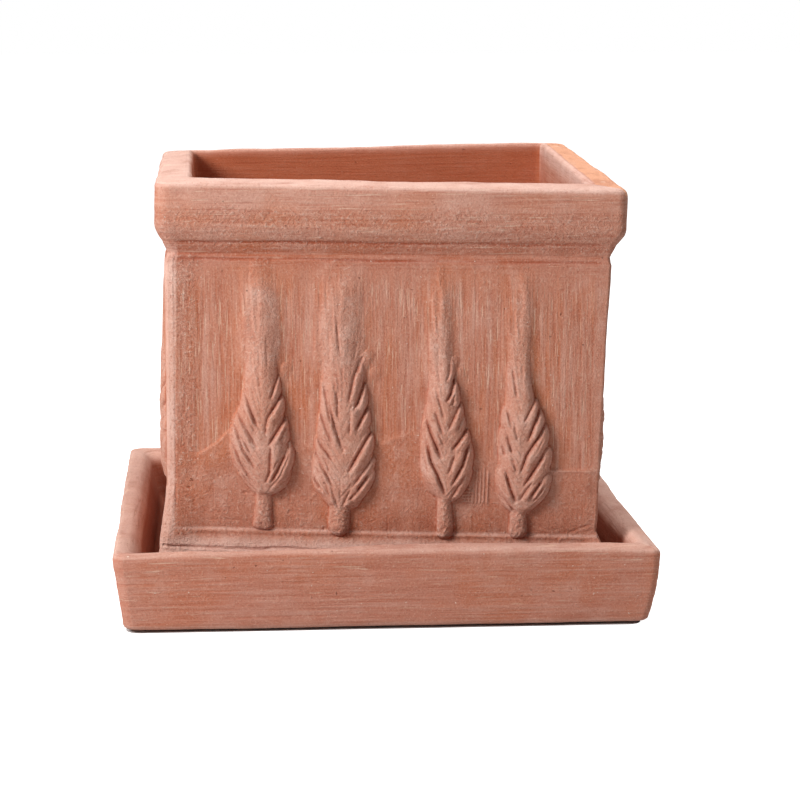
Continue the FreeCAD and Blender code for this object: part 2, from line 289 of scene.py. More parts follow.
# Each cypress of the front wall: its middle at the ledge and at the neck, the edges of its
# foliage as (out from the middle, up from the ledge), its trunk, how strong the rib above it
# is, and the cuts of its fronds.
# A cut is (depth, points), from the tip of the frond down to the middle.
cypresses = [
    dict(
        middle=(-65.2, -68.9), foot=20.0, rib=1.0, trunk_round=0.5, trunk_relief=3.2, trunk_rings=0.0,
        trunk=[(0.2, 7.2, 5.4), (2.6, 6.5, 4.9), (8, 5.3, 4.6), (14, 4.5, 4.6), (22, 4.4, 4.4)],
        left=[
            (2.5, 19.5), (5.3, 20.9), (10, 27.6), (14.1, 33.3), (16.8, 39.5), (18.1, 46.2), (18.2, 53),
            (17.6, 58.7), (16.5, 63.8), (14.5, 67.7), (12.5, 71.8), (11.6, 76.2), (10.6, 84), (9.4, 100),
            (8.2, 120), (6.8, 150),
        ],
        right=[
            (2.5, 19.5), (6.4, 21.3), (9.2, 22.6), (12.8, 25.7), (15.6, 31.4), (16.6, 38), (16.2, 45),
            (14.6, 52), (13, 60), (11.8, 68), (10.4, 76), (9, 84), (8.6, 92), (8.2, 104), (7.6, 125),
            (6.6, 150),
        ],
        cuts=[
            (plain_cut, [(9.9, 91), (4.3, 75.3)]), (deep_cut, [(12.6, 79.5), (9.9, 76.2), (2.4, 64.6)]),
            (soft_cut, [(2.6, 66), (1.4, 55)]), (deep_cut, [(13.6, 66.2), (12.4, 64.6), (3.0, 49.9)]),
            (plain_cut, [(12.7, 59.8), (9.3, 51.8)]), (faint_cut, [(8.4, 52), (6.2, 46.5)]),
            (soft_cut, [(8.4, 42.4), (5.6, 36.5)]), (deep_cut, [(12.6, 46), (11.5, 43.4), (4.0, 28.9)]),
            (plain_cut, [(4.3, 48.2), (3.7, 35.4), (1.2, 28.9)]),
            (soft_cut, [(14.2, 52), (13.4, 43), (9, 33), (3, 25.6)]),
            (plain_cut, [(-14, 57), (-10.8, 47), (-4.5, 37)]),
            (plain_cut, [(-16, 49), (-12, 39), (-5.4, 28.5)]),
            (soft_cut, [(-15, 39), (-9.6, 30), (-3.3, 23)]),
            (plain_cut, [(-13.4, 67), (-8.5, 58), (-2.7, 48)]),
            (soft_cut, [(-15.6, 60), (-9.6, 50), (-5.6, 43)]),
            (soft_cut, [(-15.4, 44), (-9.6, 33.5), (-4.4, 26)]),
            (soft_cut, [(-10.6, 70), (-6, 61), (-3.4, 56)]),
            (plain_cut, [(-8.4, 75), (-5.6, 67), (-2.7, 59.8)]), (faint_cut, [(-6, 82), (-2.7, 70)]),
            (soft_cut, [(-10.6, 80), (-6.8, 71)]), (faint_cut, [(-5.4, 108), (-5.2, 90)]),
            (faint_cut, [(-1.6, 104), (-1.3, 84)]), (faint_cut, [(2.6, 110), (3.0, 92)]),
        ],
    ),
    dict(
        middle=(-24.0, -24.8), foot=13.2, rib=1.0, trunk_round=0.9, trunk_relief=5.0, trunk_rings=0.3,
        trunk=[(-2.0, 5.6, 4.8), (2, 6.2, 5.6), (7, 6.4, 5.8), (16, 5.6, 6.0)],
        left=[
            (4, 12.6), (6.2, 14), (10, 18.8), (13.6, 24.1), (15.4, 31), (15.2, 38), (14.4, 46), (14, 54),
            (13, 62), (11.8, 70), (11.2, 78), (11.2, 100), (10.9, 118), (10, 150),
        ],
        right=[
            (4, 11), (7, 12), (11.1, 15.3), (15.3, 23), (18, 31.5), (18.6, 41), (17.8, 50), (16.2, 60),
            (14.6, 70), (13.2, 80), (11.8, 90), (9.8, 100), (8.4, 112), (8, 150),
        ],
        cuts=[
            (faint_cut, [(8.6, 108), (6.6, 96)]), (plain_cut, [(11.6, 99), (10.6, 96.8), (8, 89)]),
            (plain_cut, [(9.8, 97), (6.7, 87.2), (3.9, 74)]),
            (deep_cut, [(14.6, 89), (13.6, 87.2), (9.2, 74), (6.7, 69.3)]),
            (deep_cut, [(16.6, 74), (12.7, 67.3), (8, 59)]), (soft_cut, [(5.2, 68), (4.6, 55.9)]),
            (deep_cut, [(18.4, 59), (14.8, 54.5), (10.5, 47), (4.2, 35.3)]),
            (plain_cut, [(18.6, 44), (16.7, 41.7), (6.7, 27.3)]), (deep_cut, [(15.2, 33.6), (8.9, 24.4)]),
            (plain_cut, [(9, 24.6), (5.2, 19.6)]),
            (plain_cut, [(-6.6, 74), (-3.4, 60.9), (0, 51), (2, 47)]),
            (plain_cut, [(-9.4, 82), (-7, 70), (-5.4, 62)]),
            (plain_cut, [(-11.4, 68), (-7.6, 58), (-3.6, 50.2)]), (soft_cut, [(-2.4, 80), (-1.6, 66)]),
            (soft_cut, [(-9.6, 44), (-5.2, 35)]), (soft_cut, [(-12.6, 37), (-6.4, 26)]),
            (plain_cut, [(-12.6, 53.5), (-10.8, 50.3), (-4.2, 41.7)]),
            (plain_cut, [(-14.2, 47), (-12.9, 44), (-3.6, 27)]), (plain_cut, [(-16.7, 35), (-9.8, 24)]),
            (soft_cut, [(-8.6, 31), (-5.6, 21)]), (soft_cut, [(-4.6, 26), (-1.0, 15)]),
            (soft_cut, [(5.4, 25), (1.4, 15.5)]), (faint_cut, [(0.2, 32), (0.3, 18)]),
            (faint_cut, [(-4.2, 98), (-3.8, 80)]), (faint_cut, [(0.4, 96), (0.8, 76)]),
            (faint_cut, [(-7, 112), (-6.4, 94)]), (soft_cut, [(-3, 116), (-1, 100)]),
        ],
    ),
    dict(
        middle=(34.0, 28.5), foot=18.0, rib=0.6, trunk_round=0.9, trunk_relief=4.6, trunk_rings=0.12,
        trunk=[(-2.6, 3.8, 4.0), (0, 4.4, 4.7), (6, 4.6, 5.2), (12, 4.2, 4.6), (20, 3.8, 3.8)],
        left=[
            (2, 15), (3.4, 17), (5.4, 21.6), (8.9, 24.4), (11.6, 28.6), (13.4, 33), (13.2, 40), (12.6, 50),
            (11.8, 60), (10.8, 66), (9.7, 72), (9, 79), (7.9, 88), (7.3, 98.6), (6.6, 112), (5.4, 150),
        ],
        right=[
            (2, 15), (4.4, 17), (6.9, 19.4), (10.5, 22.8), (13.6, 29.1), (15.2, 37), (15.4, 45), (14.2, 53),
            (12.6, 60), (11, 67), (9.4, 74), (7.8, 80), (6.4, 86), (5.8, 93), (5.2, 100), (4.8, 112),
            (4.6, 150),
        ],
        cuts=[
            (soft_cut, [(3.9, 96), (3.5, 90.6), (1.4, 86.4)]),
            (deep_cut, [(6.2, 89.5), (5.6, 84.8), (3.9, 79.4), (1.4, 75.2)]),
            (plain_cut, [(6, 79.6), (4.6, 73.3)]),
            (plain_cut, [(10.4, 77.4), (9.2, 74), (6, 67.5), (2, 59.2)]),
            (soft_cut, [(11, 69.4), (7.3, 59.2)]), (deep_cut, [(13.4, 60.5), (10.4, 56.4), (4.2, 48.7)]),
            (plain_cut, [(5.7, 45.4), (2, 35.2)]),
            (deep_cut, [(13.2, 51), (12.6, 49), (10, 40.3), (3.9, 28.8)]),
            (plain_cut, [(11.6, 35), (10.4, 33), (3.2, 21)]), (faint_cut, [(8.4, 50), (6.4, 42)]),
            (soft_cut, [(-3.3, 78), (0.4, 65.6)]), (plain_cut, [(-4.6, 69.4), (-0.8, 57.9)]),
            (deep_cut, [(-8.9, 64), (-7, 57.2), (-1.5, 44)]), (soft_cut, [(-3.4, 58), (-0.2, 51.5)]),
            (deep_cut, [(-9.4, 53), (-7, 41.6), (-3.6, 34.5), (0.4, 23.6)]),
            (soft_cut, [(-13.6, 33.6), (-5.2, 20.7)]), (soft_cut, [(-11, 45), (-9.2, 36)]),
            (faint_cut, [(-6.4, 96), (-5.4, 80)]), (faint_cut, [(-2.6, 104), (-2, 86)]),
        ],
    ),
    dict(
        middle=(74.3, 73.9), foot=12.4, rib=0.65, trunk_round=0.8, trunk_relief=4.6, trunk_rings=0.1,
        trunk=[(-1.4, 4.8, 5.0), (3, 5.3, 5.6), (7, 4.9, 5.2), (14, 4.6, 4.6)],
        left=[
            (2.5, 11), (4.9, 12.4), (5.8, 14.3), (8.9, 17.5), (11.6, 22.7), (13.5, 28.7), (13.3, 34),
            (12.2, 40.5), (12.1, 48.4), (12.6, 55.6), (11.8, 61.5), (11, 68.8), (9.9, 73.4), (9.4, 84),
            (8.2, 100), (7, 120), (6, 150),
        ],
        right=[
            (2.5, 9), (5, 10.6), (8, 14.4), (12.3, 18.7), (15.6, 25.1), (17.2, 33), (17.4, 41), (16.4, 50),
            (14.8, 58), (12.4, 65), (10.2, 70), (8.4, 74.4), (7, 79.5), (5.8, 84), (4.8, 90), (4.4, 110),
            (4.8, 150),
        ],
        cuts=[
            (plain_cut, [(8, 78), (1, 64.6)]), (deep_cut, [(11, 76), (10.4, 74.3), (8.5, 67.9), (3.5, 54)]),
            (deep_cut, [(14.2, 67), (12.9, 63.4), (8.9, 56), (3.2, 46.4), (0, 36)]),
            (deep_cut, [(12.4, 47), (11.6, 45), (7.9, 38.5), (2, 29)]),
            (plain_cut, [(6.4, 31.5), (0.1, 21.2)]), (deep_cut, [(11.6, 32.4), (10.7, 30.6), (5.1, 21.6)]),
            (plain_cut, [(13.8, 29.4), (7.6, 20.3)]), (faint_cut, [(14.6, 47), (12.6, 38)]),
            (faint_cut, [(11.6, 56), (8.4, 47)]), (plain_cut, [(-7.7, 69.6), (-5.2, 60.8)]),
            (soft_cut, [(-4.3, 63), (-1.8, 54.4)]), (plain_cut, [(-7.6, 57), (-4.6, 47)]),
            (plain_cut, [(-10.2, 51), (-8.3, 45.6)]), (soft_cut, [(-4.6, 45), (-1.9, 36)]),
            (deep_cut, [(-7.6, 36), (-4.9, 27.3), (-1.5, 19.3)]), (plain_cut, [(-9, 22.4), (-1.1, 12.9)]),
            (soft_cut, [(-11.6, 24.5), (-5, 15.6)]), (soft_cut, [(-5.4, 92), (-3, 78)]),
            (faint_cut, [(-0.6, 96), (0.2, 76)]),
        ],
    ),
]

# How far the foliage stands out from the wall, at heights above its own foot
crest_heights = [0, 4, 12, 28, 50, 68, 84, 100, 120, 150]
crest_reliefs = [3.6, 5.2, 6.8, 7.6, 7.4, 6.4, 4.9, 3.7, 2.7, 1.8]
full_relief = 5.0
# Clay on the sides was pressed flatter than on the front
side_press = (1.0, 1.0, 0.9, 0.6)

# The skyline of the low hills behind the cypresses, as x and height above the ledge
skyline_x = [-102, -97, -91, -86, -66, -46, -30, -8, -2.5, 3, 10, 16, 30, 46, 60, 80, 94, 118]
skyline_h = [44, 46.5, 50.5, 56.3, 60, 50, 46, 48, 51, 53.8, 56.2, 56.8, 54, 48, 43, 39, 37.5, 37.5]
skyline_start = (-107.0, -97.0)
# How softly the hills end, along x: crisp near both corners
skyline_soft_x = [-86, -74, 72, 88]
skyline_soft = [0.9, 3.6, 3.6, 1.1]
hill_relief = 1.2

# Small marks of the front wall: (depth, points); a raised one has a negative depth
wall_marks = [
    (0.7, [(-77.7, 21.3), (-75, 22), (-71.3, 21.5)]),
    (0.35, [(-73.2, 4.6), (-86, 5.5), (-99.9, 4.9)]),
    (0.5, [(98.7, 4.3), (93.2, 3.0), (86.5, 5.2), (79.9, 6.8)]),
    (0.6, [(117.4, 7.3), (111.3, 5.6), (103.2, 2.1), (98.7, 4.3)]),
]
# Comb marks: upright ones as (x, top, bottom), and heights and ends of the level ones
comb_lines = [
    (46.9, 40.0, 18.5), (49.2, 30.0, 17.6), (51.0, 38.0, 17.6), (53.0, 36.7, 18.0),
    (54.9, 39.0, 18.0), (57.0, 37.0, 17.8),
]
comb_steps = [18.8, 20.6, 22.4, 24.2, 26.0]
comb_step_ends = (42.9, 48.5)
comb_lift = 0.75
comb_width = 0.5
# Grit that dropped out (pits) or stands proud (beads): x, height, radius, depth
wall_grit = [
    (-106.6, 24.5, 0.8, 0.9), (-55.6, 18.8, 0.7, 0.6), (-51.2, 10.6, 0.8, 0.6),
    (-32.4, 1.3, 0.7, 0.7), (35.5, -1.1, 0.9, -0.9), (97.8, -2.0, 0.8, -0.8),
    (-38.0, 21.0, 1.0, -0.5), (12.0, 14.0, 0.9, 0.5), (-60.0, 3.0, 0.8, -0.6),
]


def along_cut(x, h, points):
    """Distance to a bent line, and the share of its length at the nearest point."""
    points = np.array(points, float)
    runs = np.diff(points, axis=0)
    lengths = np.hypot(runs[:, 0], runs[:, 1])
    nearest = np.full(x.shape, np.inf)
    share = np.zeros(x.shape)
    before = 0.0
    for start, run, length in zip(points, runs, lengths):
        away_x, away_h = x - start[0], h - start[1]
        reach = np.clip((away_x * run[0] + away_h * run[1]) / length, 0, length)
        gap = np.hypot(away_x - reach * run[0] / length, away_h - reach * run[1] / length)
        share = np.where(gap < nearest, (before + reach) / lengths.sum(), share)
        nearest = np.minimum(nearest, gap)
        before += length
    return nearest, share


def cut_depth(x, h, cuts):
    """Depth of the cuts and the burr beside them. Across a cut, a knife line
    exp(-(gap / width)^1.6) lies in a valley (1 - sqrt(gap / shoulder))^2 whose sides round
    over into the fronds, and clay pushed aside stands up in a thin burr. The cut is full
    at its outer end and runs out to a point at the middle of the cypress."""
    depth = np.zeros(x.shape)
    burr = np.zeros(x.shape)
    for strength, points in cuts:
        gap, share = along_cut(x, h, points)
        run_out = np.sqrt(np.clip((1 - share) / 0.22, 0.0, 1)) * np.clip(0.5 + share / 0.3, 0, 1)
        width = cut_half_width * (0.7 + 0.3 * strength / plain_cut) * (0.5 + 0.5 * run_out)
        shoulder = cut_shoulder * (0.6 + 0.4 * strength / plain_cut)
        sharp = np.exp(-((gap / width) ** 1.6))
        valley = (1 - np.sqrt(np.clip(gap / shoulder, 0, 1))) ** 2
        depth = np.maximum(depth, strength * run_out * (0.28 * sharp + 0.72 * valley))
        beside = ridge(gap - 2.0 * width, 0.7 * width)
        burr = np.maximum(burr, 0.10 * strength * run_out * beside)
    return depth, burr


def frond_profile(out, h, cuts):
    """From 0 between fronds to 1 on their backs: sqrt(1 - (gap / width)^2) round the middle
    line of each frond, which lies half a frond beside its cut."""
    profile = np.zeros(out.shape)
    for strength, points in cuts:
        if strength < 1.2 * faint_cut:
            continue
        firm = min(0.55 + 0.45 * strength / plain_cut, 1.25)
        points = np.array(points, float)
        run = points[0] - points[-1]
        run /= np.hypot(*run)
        hand = np.sign(points[0][0] + points[-1][0])
        aside = np.array([hand * run[1], -abs(run[0])]) * frond_half_width * firm
        axis = points + aside * np.linspace(0.95, 0.7, len(points))[:, None]
        axis = np.concatenate([axis[:1] + run * frond_overrun, axis])
        gap, share = along_cut(out, h, axis)
        width = frond_half_width * firm * np.interp(share, [0, 0.6, 1], [1, 0.95, 0.45])
        back = firm * np.sqrt(np.clip(1 - (gap / width) ** 2, 0, 1))
        profile = np.maximum(profile, back * np.clip((1 - share) / 0.25, 0, 1) ** 0.5)
    return profile


def foliage_relief(out, h, tree):
    """A dome across, c (1 - |u|^2)^0.85 on its left and c (1 - |u|^3)^0.6 on its steeper
    right, that softens into a rib exp(-0.75u^2) higher up. Fronds lie over it and swell it,
    and fine strands, noise along lines of equal |x| less the run of their lean, cover it."""
    left_reach, left_height = np.array(tree["left"]).T
    right_reach, right_height = np.array(tree["right"]).T
    right = ease(out, -4, 4)
    backs = frond_profile(out, h, tree["cuts"])
    reach = np.where(
        out < 0, np.interp(h, left_height, left_reach), np.interp(h, right_height, right_reach)
    )
    reach = reach + backs * (frond_swell[0] + (frond_swell[1] - frond_swell[0]) * right) - 0.5
    across = np.abs(out) / reach
    soft_dome = np.clip(1 - across ** 2, 0, 1) ** 0.85
    steep_dome = np.clip(1 - across ** 3, 0, 1) ** 0.6
    dome = soft_dome + (steep_dome - soft_dome) * right
    rib = np.exp(-0.75 * across ** 2) * (1 - ease(across, 1.6, 3.4))
    softness = ease(h, 78, 106)
    crest = np.interp(h - tree["foot"], crest_heights, crest_reliefs) * (1 + (tree["rib"] - 1) * softness)
    shape = (dome * (1 - softness) + rib * softness) * ease(h, tree["foot"] - 2.5, tree["foot"] + 4)
    heights = np.linspace(0, 150, 301)
    lean_run = np.cumsum(np.interp(heights, strand_heights, strand_leans)) * heights[1]
    strand = np.abs(out) - np.interp(h, heights, lean_run)
    place = np.stack([strand, h, 40.0 * (out > 0)], -1)
    strands = noise(place, (1.25, 13, 9), 51) + 0.6 * noise(place, (2.6, 22, 9), 52)
    strands *= (strand_depth[0] + (strand_depth[1] - strand_depth[0]) * right) * ease(np.abs(out), 0, 1.2)
    relief = crest * shape + frond_lift * backs ** 2 * np.sqrt(shape) * (1 - 0.6 * softness)
    return relief + strands * ease(shape, 0.1, 0.5), across


def cypress_relief(x, h, tree):
    """One cypress: its foliage over a knobbly trunk sqrt(1 - u^2 - e^2), where e rises at the
    round foot, the two joined by (a^5 + b^5)^(1/5). Returns relief, depth of the cuts, and
    how far out a point lies."""
    middle = tree["middle"][0] + (tree["middle"][1] - tree["middle"][0]) * np.clip(h / 150, 0, 1)
    out = x - middle
    foliage, across = foliage_relief(out, h, tree)
    trunk_height, trunk_left, trunk_right = np.array(tree["trunk"]).T
    half = np.where(
        out < 0, np.interp(h, trunk_height, trunk_left), np.interp(h, trunk_height, trunk_right)
    )
    foot_share = np.clip(1 - (h - trunk_height[0]) / (tree["trunk_round"] * half), 0, 1)
    trunk = np.sqrt(np.clip(1 - (out / half) ** 2 - foot_share ** 2, 0, 1)) * tree["trunk_relief"]
    knobs = np.stack([out, h, 0 * h + middle[:1, :1]], -1)
    trunk *= 1 + 0.06 * noise(knobs, (4.2, 5.2, 9), 53) + 0.07 * noise(knobs, (1.2, 1.4, 9), 54)
    rings = tree["trunk_rings"] * np.sin(h * math.tau / 1.7 + out) * ease(out, -1.5, 1.5)
    trunk += rings * ease(trunk, 1.0, 3.0)
    trunk *= 1 - ease(h, tree["foot"] + 2, tree["foot"] + 9)
    relief = (foliage ** 5 + trunk ** 5) ** 0.2
    depth, burr = cut_depth(out, h, tree["cuts"])
    inside = ease(relief, 0.3, 2.2)
    return relief + burr * inside, depth * inside, across


def wall_relief(x, h, trees, marks, grit, combed):
    """Everything raised from or cut into one wall: cypresses joined by (a^4 + b^4)^(1/4),
    and between them low hills that fade downward, burrs, grit and comb marks. Returns
    relief, cuts, how near the orange clay round the cypresses is, and where the sky is."""
    relief = np.zeros(x.shape)
    cuts = np.zeros(x.shape)
    halo = np.zeros(x.shape)
    for tree in trees:
        near = np.abs(x[len(x) // 2] - sum(tree["middle"]) / 2) < 30
        raised, cut, across = cypress_relief(x[:, near], h[:, near], tree)
        relief[:, near] = (relief[:, near] ** 4 + raised ** 4) ** 0.25
        cuts[:, near] = np.maximum(cuts[:, near], cut)
        around = ridge(np.clip(across - 1.4, 0, None), 0.55) * ease(across, 0.85, 1.2)
        around *= window(h[:, near], 26, 50, 84, 120)
        halo[:, near] = np.maximum(halo[:, near], around)
    skyline = np.interp(x, skyline_x, skyline_h)
    soft = np.interp(x, skyline_soft_x, skyline_soft)
    hill = ease(skyline - h, -soft, soft) * np.exp(-np.clip(skyline - h, 0, None) / 26)
    ground = hill_relief * hill * ease(h, -1.0, 4.0) * ease(x, *skyline_start)
    ground *= 0.65 + 0.6 * noise(np.stack([x, h, 0 * x], -1), (23, 23, 23), 31)
    ground += 0.45 * ridge(skyline - h - 0.7, 0.9) * ease(x, 84, 93)
    depth, burr = cut_depth(x, h, marks)
    ground += burr - depth
    for place_x, place_h, radius, deep in grit:
        ground -= deep * np.exp(-(((x - place_x) ** 2 + (h - place_h) ** 2) / radius ** 2))
    if combed:
        for line, top, bottom in comb_lines:
            within = window(h, bottom - 1, bottom + 1, top - 2, top + 1)
            ground += comb_lift * within * ridge(x - line, comb_width)
        for line in comb_steps:
            within = ease(x, comb_step_ends[0] - 1, comb_step_ends[0] + 1)
            within *= 1 - ease(x, comb_step_ends[1] - 1, comb_step_ends[1] + 1)
            ground += comb_lift * within * ridge(h - line, comb_width)
    open_wall = 1 - ease(relief, 0.5, 2.0)
    sky = ease(h - skyline, -2, 2) * open_wall
    return relief + ground * open_wall, cuts, halo, sky


def varied(trees, seed):
    """The cypresses of another wall: the same hand and tools, but each cut, edge and
    middle falls a little differently, and the order across the wall is reversed."""
    pick = np.random.default_rng(seed)
    order = trees[::-1] if seed % 2 else trees
    spots = [tree["middle"] for tree in trees]
    made = []
    for tree, spot in zip(order, spots):
        shift = pick.uniform(-4, 4)
        middle = (spot[0] + shift, spot[1] + shift + pick.uniform(-2, 2))
        stretch = pick.uniform(0.94, 1.07)
        changed = dict(tree, middle=middle)
        for side in ("left", "right"):
            changed[side] = [
                (reach * stretch + pick.uniform(-0.5, 0.5), height) for reach, height in tree[side]
            ]
        changed["cuts"] = [
            (
                strength * pick.uniform(0.75, 1.15),
                [(a * stretch + pick.uniform(-0.8, 0.8), b + pick.uniform(-1.5, 1.5)) for a, b in line],
            )
            for strength, line in tree["cuts"]
        ]
        made.append(changed)
    return made


side_names = ("front", "right", "back", "left")
side_trees = [cypresses] + [varied(cypresses, seed) for seed in (11, 12, 13)]

# Grid steps, finest where the fronds are cut
front_step = 0.46
front_open_step = 1.15
side_step = 0.84
side_open_step = 2.0
corner_steps = 6
saucer_steps = 185
saucer_corner_steps = 7


def side_columns(side, fine, coarse):
    """Columns of one side: corner angles from -45 degrees to 0, shares across the flat,
    closest together over the cypresses, then corner angles up to just short of 45."""
    flat = body_top_half - body_corner
    x = np.linspace(-flat, flat, 4000)
    near = np.zeros(x.shape)
    for tree in side_trees[side]:
        near = np.maximum(near, 1 - ease(np.abs(x - sum(tree["middle"]) / 2), 20, 25))
    if side == 0:
        near = np.maximum(near, ease(-x, flat - 8, flat - 4))
        near = np.maximum(near, 1 - ease(np.abs(x - comb_lines[3][0]), 9, 12))
    step = coarse + (fine - coarse) * near
    count = np.append(0, np.cumsum(np.diff(x) / step[1:]))
    half_count = int(count[-1] / 2)
    shares = np.interp(np.linspace(0, count[-1], 2 * half_count + 1), count, x / flat)
    middle = np.argmin(np.abs(shares))
    shares[middle] = 0.0
    angles = np.radians(np.linspace(-45, 0, corner_steps + 1)[:-1])
    rows = [(side, -1.0, angle) for angle in angles]
    rows += [(side, share, 0.0) for share in shares]
    rows += [(side, 1.0, -angle) for angle in angles[:0:-1]]
    return np.array(rows), corner_steps + middle


def wall_rows():
    """The path from under the foot, up the wall, over the rim and just inside the mouth."""
    top = pot_height
    path = rounded_path([
        (plinth_half - underside_margin, 0, 0, body_corner),
        (plinth_half - 0.8, 0, foot_round, body_corner),
        (plinth_half, plinth_height, plinth_round, body_corner),
        (ledge_half - 0.2, ledge_height - ledge_thickness - 0.6, 0.8, body_corner),
        (ledge_half, ledge_height - 0.6, 0.8, body_corner),
        (body_foot_half, ledge_height + 0.5, 1.4, body_corner),
        (body_top_half, neck_groove_height - 1.6, 1.6, body_corner),
        (cove_half, cove_height, 2.2, body_corner),
        (band_groove_half, band_groove_height, 4.0, rim_corner - 1),
        (rim_half, rim_under_height, rim_under_round, rim_corner),
        (rim_half, top - rim_slope, rim_top_round, rim_corner),
        (mouth_half, top, mouth_round, mouth_corner),
        (mouth_half - 0.4, top - lip_depth, 0, mouth_corner),
    ])

    def spacing(dense):
        half, height = dense[:, 0], dense[:, 1]
        outside = np.interp(
            height, [8, 19, 34, 42, 138, 158, 180, 186, 200, 225],
            [1.1, 0.6, 0.6, 0.5, 0.5, 1.0, 0.9, 0.55, 0.6, 0.9],
        )
        return np.where(half < mouth_half + 2, 1.6, outside)

    return spaced(path, spacing)


def liner_rows():
    """The path from just inside the mouth, down to the floor, through the drain hole
    and out under the floor."""
    path = rounded_path([
        (mouth_half - 0.4, pot_height - lip_depth, 0, mouth_corner),
        (inner_foot_half, pot_floor, inner_cove, inner_foot_corner),
        (drain_radius + drain_bevel, pot_floor, 1.0, drain_radius + drain_bevel),
        (drain_radius, pot_floor - drain_bevel, 0.8, drain_radius),
        (drain_radius, 0, 1.5, drain_radius),
        (plinth_half - underside_margin, 0, 0, body_corner),
    ])

    def spacing(dense):
        half, height = dense[:, 0], dense[:, 1]
        floor = np.where(half < drain_radius + 4, 0.9, 4.0)
        return np.where(height > pot_floor + 0.5, 2.4, np.where(half > inner_foot_half - 12, 1.5, floor))

    return spaced(path, spacing)


def path_normals(path):
    """Outward direction of each row in half width and height, from its neighbours."""
    along = np.gradient(path[:, :2], axis=0)
    along /= np.linalg.norm(along, axis=1)[:, None]
    return np.stack([along[:, 1], -along[:, 0]], -1)


def fired(points):
    """Bends the fresh pot as its firing did, then sets it down turned in its saucer.
    x' = x + z s(y) and z' = z - x s(y), with lean s going evenly from front to back."""
    x, y, z = points[..., 0], points[..., 1], points[..., 2]
    back_share = np.clip((y + body_top_half) / (2 * body_top_half), 0, 1)
    lean = front_lean + (back_lean - front_lean) * back_share
    slip = rim_slip * ease(z, neck_groove_height - 8, band_groove_height + 6)
    bent_x = x + z * lean + slip
    bent_z = z - x * lean * ease(z, 0, lean_start_height)
    bent_z += between_corners(points, rim_half, rim_rise) * ease(z, 200, 221)
    at_groove = window(z, 178, 190, 198, 212)
    bent_z += between_corners(points, rim_half, groove_drop) * at_groove
    c, s = math.cos(pot_turn), math.sin(pot_turn)
    return np.stack(
        [c * bent_x - s * y + pot_middle[0], s * bent_x + c * y + pot_middle[1], bent_z + pot_base], -1
    )


